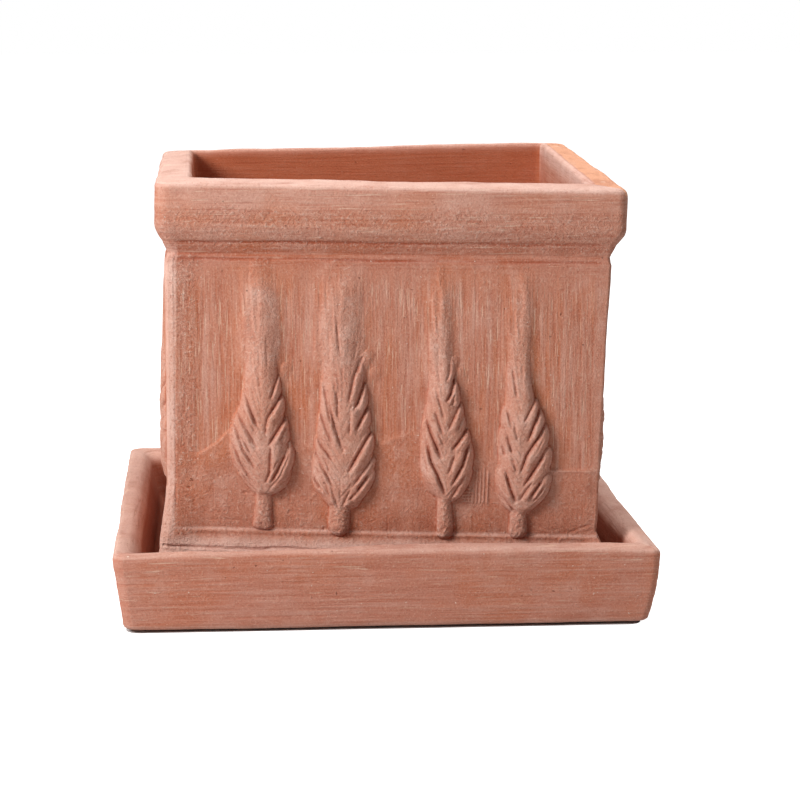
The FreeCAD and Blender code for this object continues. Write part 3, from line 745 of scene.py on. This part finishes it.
def pot_surface(path, columns):
    """The clay surface over a grid of rows and columns: the plan carried up the path, pushed
    out by the reliefs, the grooves under the rim, dents of the hand and brush marks."""
    side, angle = columns[:, 0].astype(int), columns[:, 2]
    half, height = path[:, :1], path[:, 1:2] + np.zeros(len(columns))
    body = window(height, 24, 30, 190, 200)
    outside = (half > mouth_half + 3) + np.zeros(len(columns))
    # Only the front left corner was trimmed flat
    trimmed = 0.8 * at_left_corner(side, angle)
    trimmed = trimmed * outside * window(height, 8, 22, 186, 196)
    roundness = roundness_of(columns, corner_share)
    at_rim = ease(height, 186, 197)
    rim_part = 0.6 * at_rim * ease(half, mouth_half + 3, mouth_half + 12)
    roundness = 1 - (1 - roundness) * (outside * (1 - at_rim) + rim_part)
    x, outward, _ = square_plan(path, columns, trimmed, roundness)
    long = at_left_corner(side, x)
    starts = (ease(np.abs(x), *flare_start), ease(np.abs(x), *short_flare_start))
    flared = np.where(long, *starts) * outside * window(height, 0, 4, 56, 61)
    for chosen, heights, halves in (
        (long, flare_heights, flare_halves), (~long, short_flare_heights, short_flare_halves),
    ):
        flare = path.copy()
        flare[:, 0] = np.interp(path[:, 1], heights, halves)
        flare_x, flare_outward, _ = square_plan(flare, columns, trimmed, roundness)
        x = np.where(chosen, x + flared * (flare_x - x), x)
        outward = np.where(chosen, outward + flared * (flare_outward - outward), outward)
    plain = turned_by_side(x, outward, height, side)
    # Relief and cuts, side by side; both fade out at the corners and at the neck
    relief, cuts, halo, sky = (np.zeros(x.shape) for _ in range(4))
    wall = (path[:, 0] > cove_half - 3) & (path[:, 1] > ledge_height - 5)
    wall &= path[:, 1] < neck_groove_height + 4
    for number in range(4 if wall.any() else 0):
        mine = np.ix_(wall, side == number)
        if number == 0:
            marks, grit, combed = wall_marks, wall_grit, True
        else:
            marks, grit, combed = wall_marks[:1], wall_grit[number:number + 4], False
        found = wall_relief(
            x[mine], height[mine] - ledge_height, side_trees[number], marks, grit, combed
        )
        relief[mine], cuts[mine], halo[mine], sky[mine] = found
        relief[mine] *= side_press[number]
        cuts[mine] *= side_press[number]
        halo[mine] *= 0.8
    edge = 1 - ease(np.abs(x), body_foot_half - 6.5, body_foot_half - 1.5)
    neck = 1 - ease(height, neck_groove_height - 24, neck_groove_height + 0.5)
    relief *= edge * neck
    cuts *= edge * neck
    # Hand-made unevenness
    dents = 0.55 * noise(plain, (46, 46, 46), 1) + 0.28 * noise(plain, (19, 19, 19), 2)
    dents += 0.10 * noise(plain, (7, 7, 7), 3)
    rib = ease(relief, 1.0, 3.0)
    flutes = (0.08 + 0.12 * rib) * noise(plain, (3.0, 3.0, 34), 4) * body * outside
    banded = (1 - body) * outside
    brush = 0.13 * noise(plain, (60, 60, 2.6), 5) * banded
    # Grooves scored under the rim, uneven in depth, and the worn line over the plinth
    sway = 0.5 * noise(plain, (50, 50, 400), 6)
    scored = 0.75 + 0.5 * noise(plain, (34, 34, 400), 7)
    ends = 1 - 0.75 * ease(np.abs(x), body_foot_half - 9, body_foot_half)
    fainter = 1 - 0.45 * ease(x, -40, 100)
    groove = 0.6 * fainter * ridge(height - band_groove_height - sway, 0.9)
    neck_scored = np.clip(scored + 0.5 * noise(plain, (22, 22, 400), 8), 0.1, 1.3)
    groove += 0.62 * neck_scored * ridge(height - neck_groove_height - sway, 0.6)
    crack = (0.15 + 1.5 * (side == 0) * ease(-x, -crack_end[1], -crack_end[0])) * scored
    wander = sway + 0.5 * noise(plain, (6, 6, 400), 12)
    crack = crack * ridge(height - plinth_height - 1.6 - wander, 0.55)
    groove = groove * outside * ends + crack * outside
    # Painted shade on the neck, under the rim's overhang, uneven along it
    under_rim_shade = 0.3 * window(height, 174, 184, 193, 198)
    under_rim_shade *= 1 + 0.4 * noise(plain, (40, 40, 5), 14)
    # The thin line left by the blade that trimmed the corner
    beside = np.where(side == 0, -x, np.where(side == 3, x, 0)) - half + body_corner + 0.3
    groove += 0.5 * ridge(beside, 0.45) * ease(height, 36, 50) * body * outside
    low = (1 - ease(height, 30, 40)) * outside
    lumpy = 0.35 * noise(plain, (12, 12, 6), 9) * low
    lumpy += 0.22 * noise(plain, (9, 9, 9), 10) * (1 - sky) * body * outside
    lumpy += 0.30 * noise(plain, (3.4, 3.4, 2.2), 13) * low * ease(-height, -24, -21)
    push = dents + flutes + brush - groove + lumpy
    normal = path_normals(path)
    foot = ease(height, 0, 6)
    over_ledge = np.clip(outward - body_foot_half, 0, 3) * (1 - ease(height, 36, 44))
    out_share = normal[:, :1] + (1 - normal[:, :1]) * flared
    x_out = outward + push * out_share * (0.15 + 0.85 * foot) + relief - cuts
    x_out -= over_ledge * ease(relief, 0.5, 3)
    z_out = height + push * normal[:, 1:] * foot * (1 - flared)
    push = push + relief - cuts
    points = turned_by_side(x, x_out, z_out, side)
    inner = ease(-path[:, 0], -rim_half + 4, -mouth_half - 1) * ease(path[:, 1], 2, 14)
    points[..., 0] += between_corners(points, mouth_half, mouth_push) * inner[:, None]
    at_front = ease(-points[..., 1], 40, 112) * outside
    tilted = at_front * window(height, 6, 18, 40, 64)
    points[..., 2] += tilted * np.interp(points[..., 0], ledge_tilt_x, ledge_tilt)
    brushed_up = window(height, 24, 30, 170, 190) * outside
    marks = dict(
        relief=relief / full_relief,
        # cut also carries painted shade in the grooves and under the rim
        cut=cuts / deep_cut + groove / 1.2 + under_rim_shade * outside,
        # halo runs over 1 on the right wall's rim top, for a painted warm highlight there
        halo=halo * edge + 1.6 * (side == 1) * ease(height, 218, 221) * outside,
        level=1 - brushed_up + 0 * x,
        sky=sky * edge * (1 - ease(height, 160, 184)),
        # pale painted highlight on the rim, edges and plinth
        worn=painted_highlight_share(path, x, side),
        # inner is painted shade, less near the top of the right wall's inside, where light falls
        inner=inner[:, None] * (1 - 0.6 * (side == 1) * ease(height, 200, 222)) + 0 * x,
        grit=gritty(x, height, side, sky, relief) * outside,
        push=push,
    )
    return fired(points), marks


def gritty(x, height, side, sky, relief):
    """How coarse the clay was left: most on the low ground, the underside of the rim and
    beside the trimmed corner, less on the cypresses, least on the brushed sky."""
    under_rim = window(height, 186, 194, 208, 217)
    ground = (1 - sky) * (1 - ease(relief, 0.5, 2)) * (1 - ease(height, 186, 190))
    margin = ease(-x, 96, 108) * (side == 0) * (1 - ease(height, 186, 190))
    coarse = np.maximum(np.maximum(0.58 * ground, margin), 0.8 * under_rim)
    low = 1 - ease(height, ledge_height + 12, ledge_height + 26)
    return np.maximum(coarse, 0.25 + (0.45 + 0.25 * low) * ease(relief, 0.5, 2))


def painted_highlight_share(path, x, side):
    """Painted highlight, where the clay is coloured paler for the light on it: the rim's top and
    upper face, the trimmed corner, the plinth, and the inside of the right wall near the mouth."""
    half, height = path[:, :1], path[:, 1:2]
    top = ease(height, pot_height - 5.5, pot_height - 2.2) * ease(half, mouth_half - 1, mouth_half + 2)
    corner = ease(np.abs(x), body_foot_half - body_corner - 0.3, body_foot_half - body_corner + 1.2)
    corner = corner * ease(height, plinth_height, ledge_height) * ease(-height, -200, -186)
    corner = corner * np.where(at_left_corner(side, x), 0.7, 0.1)
    face = np.maximum(0.34 * ease(height, 204, 217), 0.26 * window(height, 195.5, 198, 201, 207))
    face = face * (1 - 0.65 * ease(x, -60, 118))
    plinth = 0.85 * window(height, 14, 19, 26, 32)
    plinth = np.maximum(plinth, 0.6 * ridge(height - ledge_height - 0.4, 0.8))
    outer = np.maximum(np.maximum(corner, face), plinth) * ease(half, mouth_half + 3, mouth_half + 5)
    # The right wall's rim top gets half this pale painted highlight, and a warm one in the material
    top = top * np.where(side == 1, 0.5, 1.0)
    patch = 0.25 * ease(height, 192, 215) + 0.75 * ease(height, 213, 221)
    return np.maximum(np.maximum(top, outer), patch * (side == 1) * (half < mouth_half + 2.2))


def crest_mark(push):
    """How far each point stands above the mean of the points round it."""
    mean = push.copy()
    for _ in range(3):
        mean = (np.roll(mean, 1, 1) + np.roll(mean, -1, 1) + 2 * mean) / 4
        mean[1:-1] = (mean[:-2] + mean[2:] + 2 * mean[1:-1]) / 4
    return push - mean


def grid_normals(points):
    """Unit normals from central differences along the rows and round the wrapped columns."""
    across = np.roll(points, -1, 1) - np.roll(points, 1, 1)
    up = np.gradient(points, axis=0)
    normal = np.cross(across, up)
    return normal / np.maximum(np.linalg.norm(normal, axis=-1), 1e-12)[..., None]


def grid_quads(rows, columns, wrap_rows, wrap_columns):
    """Quads between neighbouring rows and columns of a grid."""
    row, column = np.meshgrid(
        np.arange(rows if wrap_rows else rows - 1),
        np.arange(columns if wrap_columns else columns - 1),
        indexing="ij",
    )
    next_row, next_column = (row + 1) % rows, (column + 1) % columns
    corners = [(row, column), (row, next_column), (next_row, next_column), (next_row, column)]
    return np.stack([a * columns + b for a, b in corners], -1).reshape(-1, 4)


def fill_mesh(name, points, faces, normals, marks):
    """A mesh from arrays: points in millimetres, a list of face arrays, point normals and
    named point values that the materials read."""
    mesh = bpy.data.meshes.new(name)
    corners = np.concatenate([face.ravel() for face in faces]).astype(np.int32)
    sizes = np.concatenate([np.full(len(face), face.shape[1]) for face in faces])
    mesh.vertices.add(len(points))
    mesh.vertices.foreach_set("co", (points * MM).astype(np.float32).ravel())
    mesh.loops.add(len(corners))
    mesh.loops.foreach_set("vertex_index", corners)
    mesh.polygons.add(len(sizes))
    mesh.polygons.foreach_set("loop_start", (np.cumsum(sizes) - sizes).astype(np.int32))
    mesh.update(calc_edges=True)
    mesh.validate()
    mesh.shade_smooth()
    mesh.normals_split_custom_set_from_vertices(normals.reshape(-1, 3).tolist())
    for mark, values in marks.items():
        layer = mesh.attributes.new(mark, "FLOAT", "POINT")
        layer.data.foreach_set("value", values.astype(np.float32).ravel())
    piece = bpy.data.objects.new(name, mesh)
    bpy.context.scene.collection.objects.link(piece)
    return piece


def pot_pieces():
    """The walls, each a closed slab from under the foot to inside the lip, and the liner.
    All share one grid, so their edges meet point for point."""
    blocks, starts, start = [], [], 0
    for side in range(4):
        fine, coarse = (front_step, front_open_step) if side == 0 else (side_step, side_open_step)
        block, middle = side_columns(side, fine, coarse)
        starts.append(start)
        if side == 0:
            starts.append(start + middle)
        start += len(block)
        blocks.append(block)
    columns = np.concatenate(blocks)
    starts.append(start)
    walls, liner = wall_rows(), liner_rows()
    around = np.concatenate([liner[-2:-1], walls, liner[1:2]])
    points, marks = pot_surface(around, columns)
    normals = grid_normals(points)
    marks["crest"] = crest_mark(marks.pop("push"))
    names = ["front_left", "front_right"] + list(side_names[1:])
    pieces = []
    for name, first, last in zip(names, starts, starts[1:]):
        picked = np.arange(first, last + 1) % len(columns)
        part = points[1:-1, picked]
        rows, count = part.shape[:2]
        ends = np.arange(rows) * count
        faces = [grid_quads(rows, count, True, False), ends[None, :], (ends + count - 1)[None, ::-1]]
        picked_marks = {mark: values[1:-1, picked] for mark, values in marks.items()}
        piece = fill_mesh(
            "pot_wall_" + name, part.reshape(-1, 3), faces, normals[1:-1, picked], picked_marks
        )
        pieces.append(piece)
    sparse = columns[::2]
    points, marks = pot_surface(liner, sparse)
    marks["crest"] = crest_mark(marks.pop("push"))
    faces = [grid_quads(len(liner), len(sparse), True, True)]
    pieces.append(
        fill_mesh("pot_liner", points.reshape(-1, 3), faces, grid_normals(points), marks)
    )
    return pieces


def saucer_piece():
    """The saucer: one path from the middle of its floor, over the lip and back to the middle
    of its underside, carried round the square, bent by the firing, and closed by a point at
    each end."""
    pole = 4.0
    path = rounded_path([
        (pole, saucer_floor, 0, pole),
        (saucer_inner_foot_half, saucer_floor, saucer_cove, saucer_inner_corner),
        (saucer_inner_half, saucer_height, saucer_inner_round, saucer_inner_corner),
        (saucer_half + saucer_spread, saucer_height, saucer_lip_round, saucer_corner),
        (saucer_foot_half, saucer_edge_lift, saucer_foot_round, saucer_corner),
        (saucer_foot_half - saucer_edge_width, 0, 2.0, saucer_corner),
        (pole, 0, 0, pole),
    ])

    def spacing(dense):
        half, height = dense[:, 0], dense[:, 1]
        under = height < 1.5
        edge = np.where(under, 2.5, np.where(half > saucer_inner_half, 1.0, 1.5))
        return np.where(half < saucer_inner_foot_half - 6, np.where(under, 12.0, 6.0), edge)

    path = spaced(path, spacing)[::-1]
    half, up = path[:, :1], path[:, 1:2]
    shares = np.linspace(-1, 1, saucer_steps)
    angles = np.radians(np.linspace(-45, 45, 2 * saucer_corner_steps + 1))[:-1]
    rows = []
    for side in range(4):
        rows += [(side, -1.0, angle) for angle in angles[:saucer_corner_steps]]
        rows += [(side, share, 0.0) for share in shares]
        rows += [(side, 1.0, angle) for angle in angles[saucer_corner_steps + 1:]]
    columns = np.array(rows)
    roundness = roundness_of(columns, saucer_corner_share)
    x, outward, height = square_plan(path, columns, 0.15, roundness)
    side = columns[:, 0].astype(int)
    plain = turned_by_side(x, outward, height, side)
    push = 0.7 * noise(plain, (60, 60, 60), 21) + 0.3 * noise(plain, (22, 22, 22), 22)
    push += 0.14 * noise(plain, (70, 70, 2.4), 23) + 0.1 * noise(plain, (7, 7, 7), 24)
    normal = path_normals(path)
    foot = ease(height, 0, 5)
    near_edge = ease(half, saucer_foot_half - 4, saucer_foot_half)
    push -= 0.5 * noise(plain, (26, 26, 60), 25) * (1 - ease(height, 1, 6)) * near_edge
    x_out = outward + push * normal[:, :1] * (0.25 + 0.75 * foot)
    z_out = height + push * normal[:, 1:] * foot
    points = turned_by_side(x, x_out, z_out, side)
    inner_lift, outer_lift = (
        np.interp(points[..., 0], saucer_lip_x, lift) for lift in (saucer_inner_lift, saucer_outer_lift)
    )
    outer_share = ease(half, saucer_inner_half - 1, saucer_half)
    lift = inner_lift + (outer_lift - inner_lift) * outer_share
    at_front = ease(-points[..., 1], 60, 134)
    points[..., 2] += lift * at_front * ease(points[..., 2], 17, 40)
    bend = np.interp(points[..., 1], saucer_bend_y, saucer_bend)
    bend += saucer_bulge * np.sin(math.pi * np.clip(points[..., 2] / saucer_height, 0, 1)) * at_front
    points[..., 0] += bend * ease(points[..., 0], 60, 140)
    normals = grid_normals(points)
    count = len(columns)
    quads = grid_quads(len(path), count, False, True)
    around = np.arange(count)
    low, high = points[0].mean(0), points[-1].mean(0)
    low_pole, high_pole = len(path) * count, len(path) * count + 1
    last = (len(path) - 1) * count
    fans = [
        np.stack([np.full(count, low_pole), (around + 1) % count, around], -1),
        np.stack([np.full(count, high_pole), last + around, last + (around + 1) % count], -1),
    ]
    all_points = np.concatenate([points.reshape(-1, 3), [low, high]])
    all_normals = np.concatenate([normals.reshape(-1, 3), [(0, 0, -1), (0, 0, 1)]])
    crest = np.append(crest_mark(push).ravel(), [0, 0])
    # Painted highlight on the lip, more on the side lips and their inner slopes, and along the foot edge
    lip = ease(up, saucer_height - 3.2, saucer_height - 1) + 0 * push
    slope = ease(up, saucer_height - 9, saucer_height - 3) * (half < saucer_inner_half + 3)
    lip = np.maximum(lip, 0.8 * slope * (side != 0))
    marks = {mark: 0 * crest for mark in ("relief", "cut", "halo", "sky")}
    # Painted shade on the inner walls and floor below the lip
    inward = ease(-half, -saucer_inner_half - 3, -saucer_inner_half + 1)
    inward = inward * ease(up, 8, 12) + 0 * push
    pale_highlight = (0.62 + 0.38 * (side != 0)) * lip + 0.35 * (1 - ease(up, 3.4, 5))
    marks.update(level=0 * crest + 1, crest=crest, worn=np.append(pale_highlight.ravel(), [0, 0]))
    marks.update(grit=0 * crest + 0.1)
    marks.update(inner=np.append((inward * (1 - lip)).ravel(), [0, 1]))
    return fill_mesh("saucer_tray", all_points, [quads] + fans, all_normals, marks)


def linear(code):
    """An sRGB hex colour as linear red, green, blue and alpha."""
    parts = [int(code[i:i + 2], 16) / 255 for i in (0, 2, 4)]
    return [p / 12.92 if p <= 0.04045 else ((p + 0.055) / 1.055) ** 2.4 for p in parts] + [1.0]


def node(tree, kind, inputs=(), out=0, **settings):
    """Adds a shader node, applies its settings, fills its inputs, named or in their order,
    with values or other sockets, and gives one of its outputs."""
    made = tree.nodes.new("ShaderNode" + kind)
    for name, value in settings.items():
        setattr(made, name, value)
    for name, value in inputs.items() if isinstance(inputs, dict) else enumerate(inputs):
        if isinstance(value, bpy.types.NodeSocket):
            tree.links.new(value, made.inputs[name])
        else:
            made.inputs[name].default_value = value
    return made.outputs[out] if made.outputs else made


def joined(tree, operation, *parts):
    """Values joined one after another by an operation, such as a sum or a product. A part
    given as (value, low, high) is that range of the value, eased to run from 0 to 1, or
    from a fourth number to a fifth."""
    result = None
    for part in parts:
        if isinstance(part, tuple):
            part = node(tree, "MapRange", part, interpolation_type="SMOOTHSTEP")
        result = part if result is None else node(tree, "Math", (result, part), operation=operation)
    return result


def blank(kept_in, name):
    """A new material or world with an empty node tree."""
    made = kept_in.new(name)
    made.use_nodes = True
    made.node_tree.nodes.clear()
    return made, made.node_tree


def terracotta(name, clay, warm, bloom_and_highlight, deep, pale_highlight, shade):
    """Unglazed terracotta: porous low-fired clay, matte, with a pale bloom, painted highlights on
    edges and crests, painted shade in the recesses and inside, grog specks and fine brush scratches."""
    material, tree = blank(bpy.data.materials, name)
    times, plus, less = (partial(joined, tree, word) for word in ("MULTIPLY", "ADD", "SUBTRACT"))
    relief, cut, halo, level, sky, crest, worn, inner, grit = (
        node(tree, "Attribute", out="Fac", attribute_name=mark)
        for mark in ("relief", "cut", "halo", "level", "sky", "crest", "worn", "inner", "grit")
    )

    # Patterns from 0 to 1: their cells in millimetres along x, y and z, how much finer
    # detail they have and how strong it is. Each starts elsewhere. The clay's grain and the
    # lines of the brush are finer than this, and drawn as coarse as they need to show
    place = node(tree, "TexCoord", out="Object")
    patterns = []
    for number, (cells, detail, roughness) in enumerate((
        ((1.3, 1.3, 26), 3.0, 0.6),  # brush marks up the walls
        ((38, 38, 1.3), 3.0, 0.6),  # and along the rim and saucer
        ((0.9, 0.9, 16), 1.0, 0.5),  # scratches up the walls
        ((22, 22, 0.9), 1.0, 0.5),  # and along the rim and saucer
        ((1.1, 1.1, 1.1), 3.0, 0.75),  # grain of the clay
        ((16, 16, 16), 4.0, 0.6),  # clouds of bloom
        ((48, 48, 48), 3.0, 0.55),  # blotches of the firing
        ((1.3, 1.3, 1.3), 0.0, 0.5),  # pale specks of grog
        ((2.2, 2.2, 2.2), 0.0, 0.5),  # dark pits
        ((4.2, 4.2, 75), 2.0, 0.5),  # streaks down the sky
        ((1.9, 1.9, 1.7), 3.0, 0.8),  # coarse clay
    ), 1):
        moved = place
        for step, operation in (
            ([1 / (cell * MM) for cell in cells], "MULTIPLY"),
            ((number * 7.3, number * 3.1, number * 5.7), "ADD"),
        ):
            moved = node(tree, "VectorMath", (moved, step), operation=operation)
        noisy = {"Vector": moved, "Scale": 1.0, "Detail": detail, "Roughness": roughness}
        patterns.append(node(tree, "TexNoise", noisy, out="Fac"))
    upright, along, scratch_up, scratch_along, grain, cloud, blotch, specks, pits, streak, coarse = patterns

    # Brush marks run up the walls and level along the rim and saucer
    upright_share = times(less(1.0, level), (sky, 0.0, 1.0, 0.4, 1.0))
    brushed = plus(times(less(along, 0.5), level), times(less(upright, 0.5), upright_share), 0.5)
    scratched = plus(times((scratch_along, 0.67, 0.75), level), times((scratch_up, 0.61, 0.71), sky))
    scratched = times(scratched, less(1.0, inner))
    speck, pit = times((specks, 0.84, 0.87)), times((pits, 0.86, 0.90))
    # The inside, painted in shade, was hardly brushed, and the low ground is more clouded than the sky
    outer = less(1.0, times(inner, 0.8))
    low_ground = times(less(1.0, sky), less(1.0, level))
    warmed = plus(times((blotch, 0.42, 0.68), 0.55), times(halo, (cloud, 0.3, 0.6), 0.5))
    clouded = times(outer, plus(times(low_ground, 0.35), 0.35))
    # Pale bloom in clouds, and a painted highlight on the raised relief
    bloom_and_relief_highlight = plus(times((cloud, 0.45, 0.75), clouded), times((relief, 0.1, 0.5), 0.42))
    # Painted shade in the cuts, grooves, under the rim and in hollows
    painted_recess_shade = joined(tree, "MAXIMUM", times((cut, 0.08, 0.8), 0.8), times((crest, -0.05, -0.45), 0.5))

    # Layers from the lowest up: what their shares are the product of, and their tint
    colour = linear(clay)
    for shares, tint in (
        ([warmed], warm),
        # Painted shade over the inside of the pot and saucer
        ([inner, 0.85], shade),
        # Bloom, with a painted highlight on the raised relief
        ([bloom_and_relief_highlight], bloom_and_highlight),
        ([(cloud, 0.42, 0.25), low_ground, 0.3], deep),
        ([(streak, 0.52, 0.7), sky, 0.45], warm),
        ([(streak, 0.48, 0.32), sky, 0.45], bloom_and_highlight),
        # Painted highlight on crests
        ([(crest, 0.02, 0.32), 0.5], bloom_and_highlight),
        # Painted shade in the recesses
        ([painted_recess_shade], deep),
        # Painted highlight on the rim, edges, plinth and saucer lip
        ([worn, (cloud, 0.2, 0.7, 0.6, 1.0)], pale_highlight),
        # Painted warm highlight on the right wall's rim top, where halo runs over 1
        ([(halo, 0.9, 1.5, 0.0, 0.75)], "F0AE86"),
        ([(brushed, 0.45, 0.7), outer, 0.42], bloom_and_highlight),
        ([(brushed, 0.5, 0.28), 0.38], deep),
        ([scratched, 0.45], "F0CDB4"),
        ([(grain, 0.52, 0.72), outer, 0.34], "EBC6AF"),
        ([(grain, 0.48, 0.28), 0.36], deep),
        ([(coarse, 0.53, 0.7), grit, 0.56], "E8C8B8"),
        ([(coarse, 0.47, 0.3), grit, 0.56], deep),
        ([speck, outer, 0.6], "F6E3D2"),
        ([pit, 0.5], "6E3A28"),
    ):
        mixed = {0: times(*shares), 6: colour, 7: linear(tint)}
        colour = node(tree, "Mix", mixed, out=2, data_type="RGBA", clamp_factor=True)
    height = plus(
        times(brushed, 0.42), times(grain, 0.42), times(coarse, grit, 1.4), times(scratched, -0.10),
        times(pit, -0.35), times(speck, 0.12),
    )
    surface = {
        "Base Color": colour, "Roughness": times((brushed, 0.3, 0.7, 0.82, 0.95)),
        "Normal": node(tree, "Bump", {"Strength": 1.0, "Distance": MM, "Height": height}),
        "Specular IOR Level": 0.25, "IOR": 1.45,
    }
    node(tree, "OutputMaterial", {"Surface": node(tree, "BsdfPrincipled", surface)})
    return material


def dress():
    """Makes every piece, sets it on its body, hides the part it stands for and gives it its finish."""
    pot_clay = terracotta(
        "Terracotta, hand pressed", clay="C08069", warm="C67651", bloom_and_highlight="D4A391", deep="9A4326",
        pale_highlight="E4BDAE", shade="B05D3B",
    )
    saucer_clay = terracotta(
        "Terracotta, brushed tray", clay="C2806A", warm="C27352", bloom_and_highlight="D3A190", deep="A0533A",
        pale_highlight="E3BCAC", shade="A65F47",
    )
    for piece in pot_pieces():
        piece.data.materials.append(pot_clay)
        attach(piece, "pot")
        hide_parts("pot")
    tray = saucer_piece()
    tray.data.materials.append(saucer_clay)
    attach(tray, "saucer")
    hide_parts("saucer")


# The camera of the photograph, in metres and degrees
camera_place = (-0.08455, -1.4876, 0.37784)
camera_pitch = 10.55
camera_yaw = 3.92
camera_lens = 115.68
camera_sensor = 36.0


def set_camera():
    """A camera at the photograph's place and angle."""
    lens = bpy.data.cameras.new("camera")
    lens.lens = camera_lens
    lens.sensor_width = camera_sensor
    lens.clip_end = 50
    camera = bpy.data.objects.new("camera", lens)
    camera.location = camera_place
    camera.rotation_euler = (math.radians(90 - camera_pitch), 0, math.radians(-camera_yaw))
    bpy.context.scene.collection.objects.link(camera)
    bpy.context.scene.camera = camera


def seen_directly(tree):
    """1 where the camera, a mirror or glass looks straight at a surface."""
    rays = ("Is Camera Ray", "Is Glossy Ray", "Is Transmission Ray")
    return joined(tree, "MAXIMUM", *(node(tree, "LightPath", out=ray) for ray in rays))


def set_world(strength):
    """A white room: white where it is seen, and an even plain light on the clay."""
    bpy.context.scene.world, tree = blank(bpy.data.worlds, "pale room")
    level = node(tree, "MapRange", {"Value": seen_directly(tree), "To Min": strength, "To Max": 1.0})
    white = node(tree, "Background", {"Color": (1, 1, 1, 1), "Strength": level})
    node(tree, "OutputWorld", {"Surface": white})


# Where it is seen, the floor is lifted to white, but not under the saucer: this far from its
# foot, a square with rounded corners, the lift has risen to 1 - 1/e. Metres
contact_fade = 0.0055
contact_half = 0.1406
contact_corner = 0.008


def set_floor():
    """A pale floor that reaches out of sight. Where it is seen it is lifted to white,
    and it keeps the shadow of the saucer."""
    reach = 6.0
    mesh = bpy.data.meshes.new("floor")
    corners = [(x * reach, y * reach, 0) for x, y in ((-1, -1), (1, -1), (1, 1), (-1, 1))]
    mesh.from_pydata(corners, [], [(0, 1, 2, 3)])
    material, tree = blank(bpy.data.materials, "white tabletop")
    straight = contact_half - contact_corner
    away = node(tree, "TexCoord", out="Object")
    for others, operation, out in (
        ([], "ABSOLUTE", 0), ([(straight, straight, 0)], "SUBTRACT", 0),
        ([(0, 0, 0)], "MAXIMUM", 0), ([], "LENGTH", "Value"),
    ):
        away = node(tree, "VectorMath", [away, *others], out, operation=operation)
    beyond = joined(tree, "MAXIMUM", joined(tree, "SUBTRACT", away, contact_corner), 0.0)
    fade = joined(tree, "POWER", math.exp(-1 / contact_fade), beyond)
    lift = joined(tree, "MULTIPLY", seen_directly(tree), joined(tree, "SUBTRACT", 1.0, fade))
    matte = node(tree, "BsdfDiffuse", {"Color": linear("CCCCCC")})
    glow = node(tree, "Emission", {"Color": (1, 1, 1, 1), "Strength": lift})
    node(tree, "OutputMaterial", {"Surface": node(tree, "AddShader", (matte, glow))})
    mesh.materials.append(material)
    floor = bpy.data.objects.new("floor", mesh)
    bpy.context.scene.collection.objects.link(floor)


def add_lamp(name, place, aim, size, watts, colour):
    """A square soft lamp at a place, pointed at another."""
    light = bpy.data.lights.new(name, "AREA")
    light.shape = "SQUARE"
    light.size = size
    light.energy = watts
    light.color = linear(colour)[:3]
    lamp = bpy.data.objects.new(name, light)
    away = np.array(place) - np.array(aim)
    lamp.location = place
    lamp.rotation_euler = (
        math.atan2(math.hypot(away[0], away[1]), away[2]), 0, math.atan2(away[0], -away[1])
    )
    bpy.context.scene.collection.objects.link(lamp)


dress()
set_camera()
set_world(strength=0.16)
set_floor()
middle = (0, 0, 0.12)
add_lamp("key softbox", (-0.99, -0.83, 0.87), middle, size=0.5, watts=21, colour="FFFFFF")
add_lamp("top softbox", (0.3, 0.28, 1.4), middle, size=1.3, watts=16.4, colour="FFFFFF")

scene = bpy.context.scene
scene.view_settings.view_transform = "Standard"
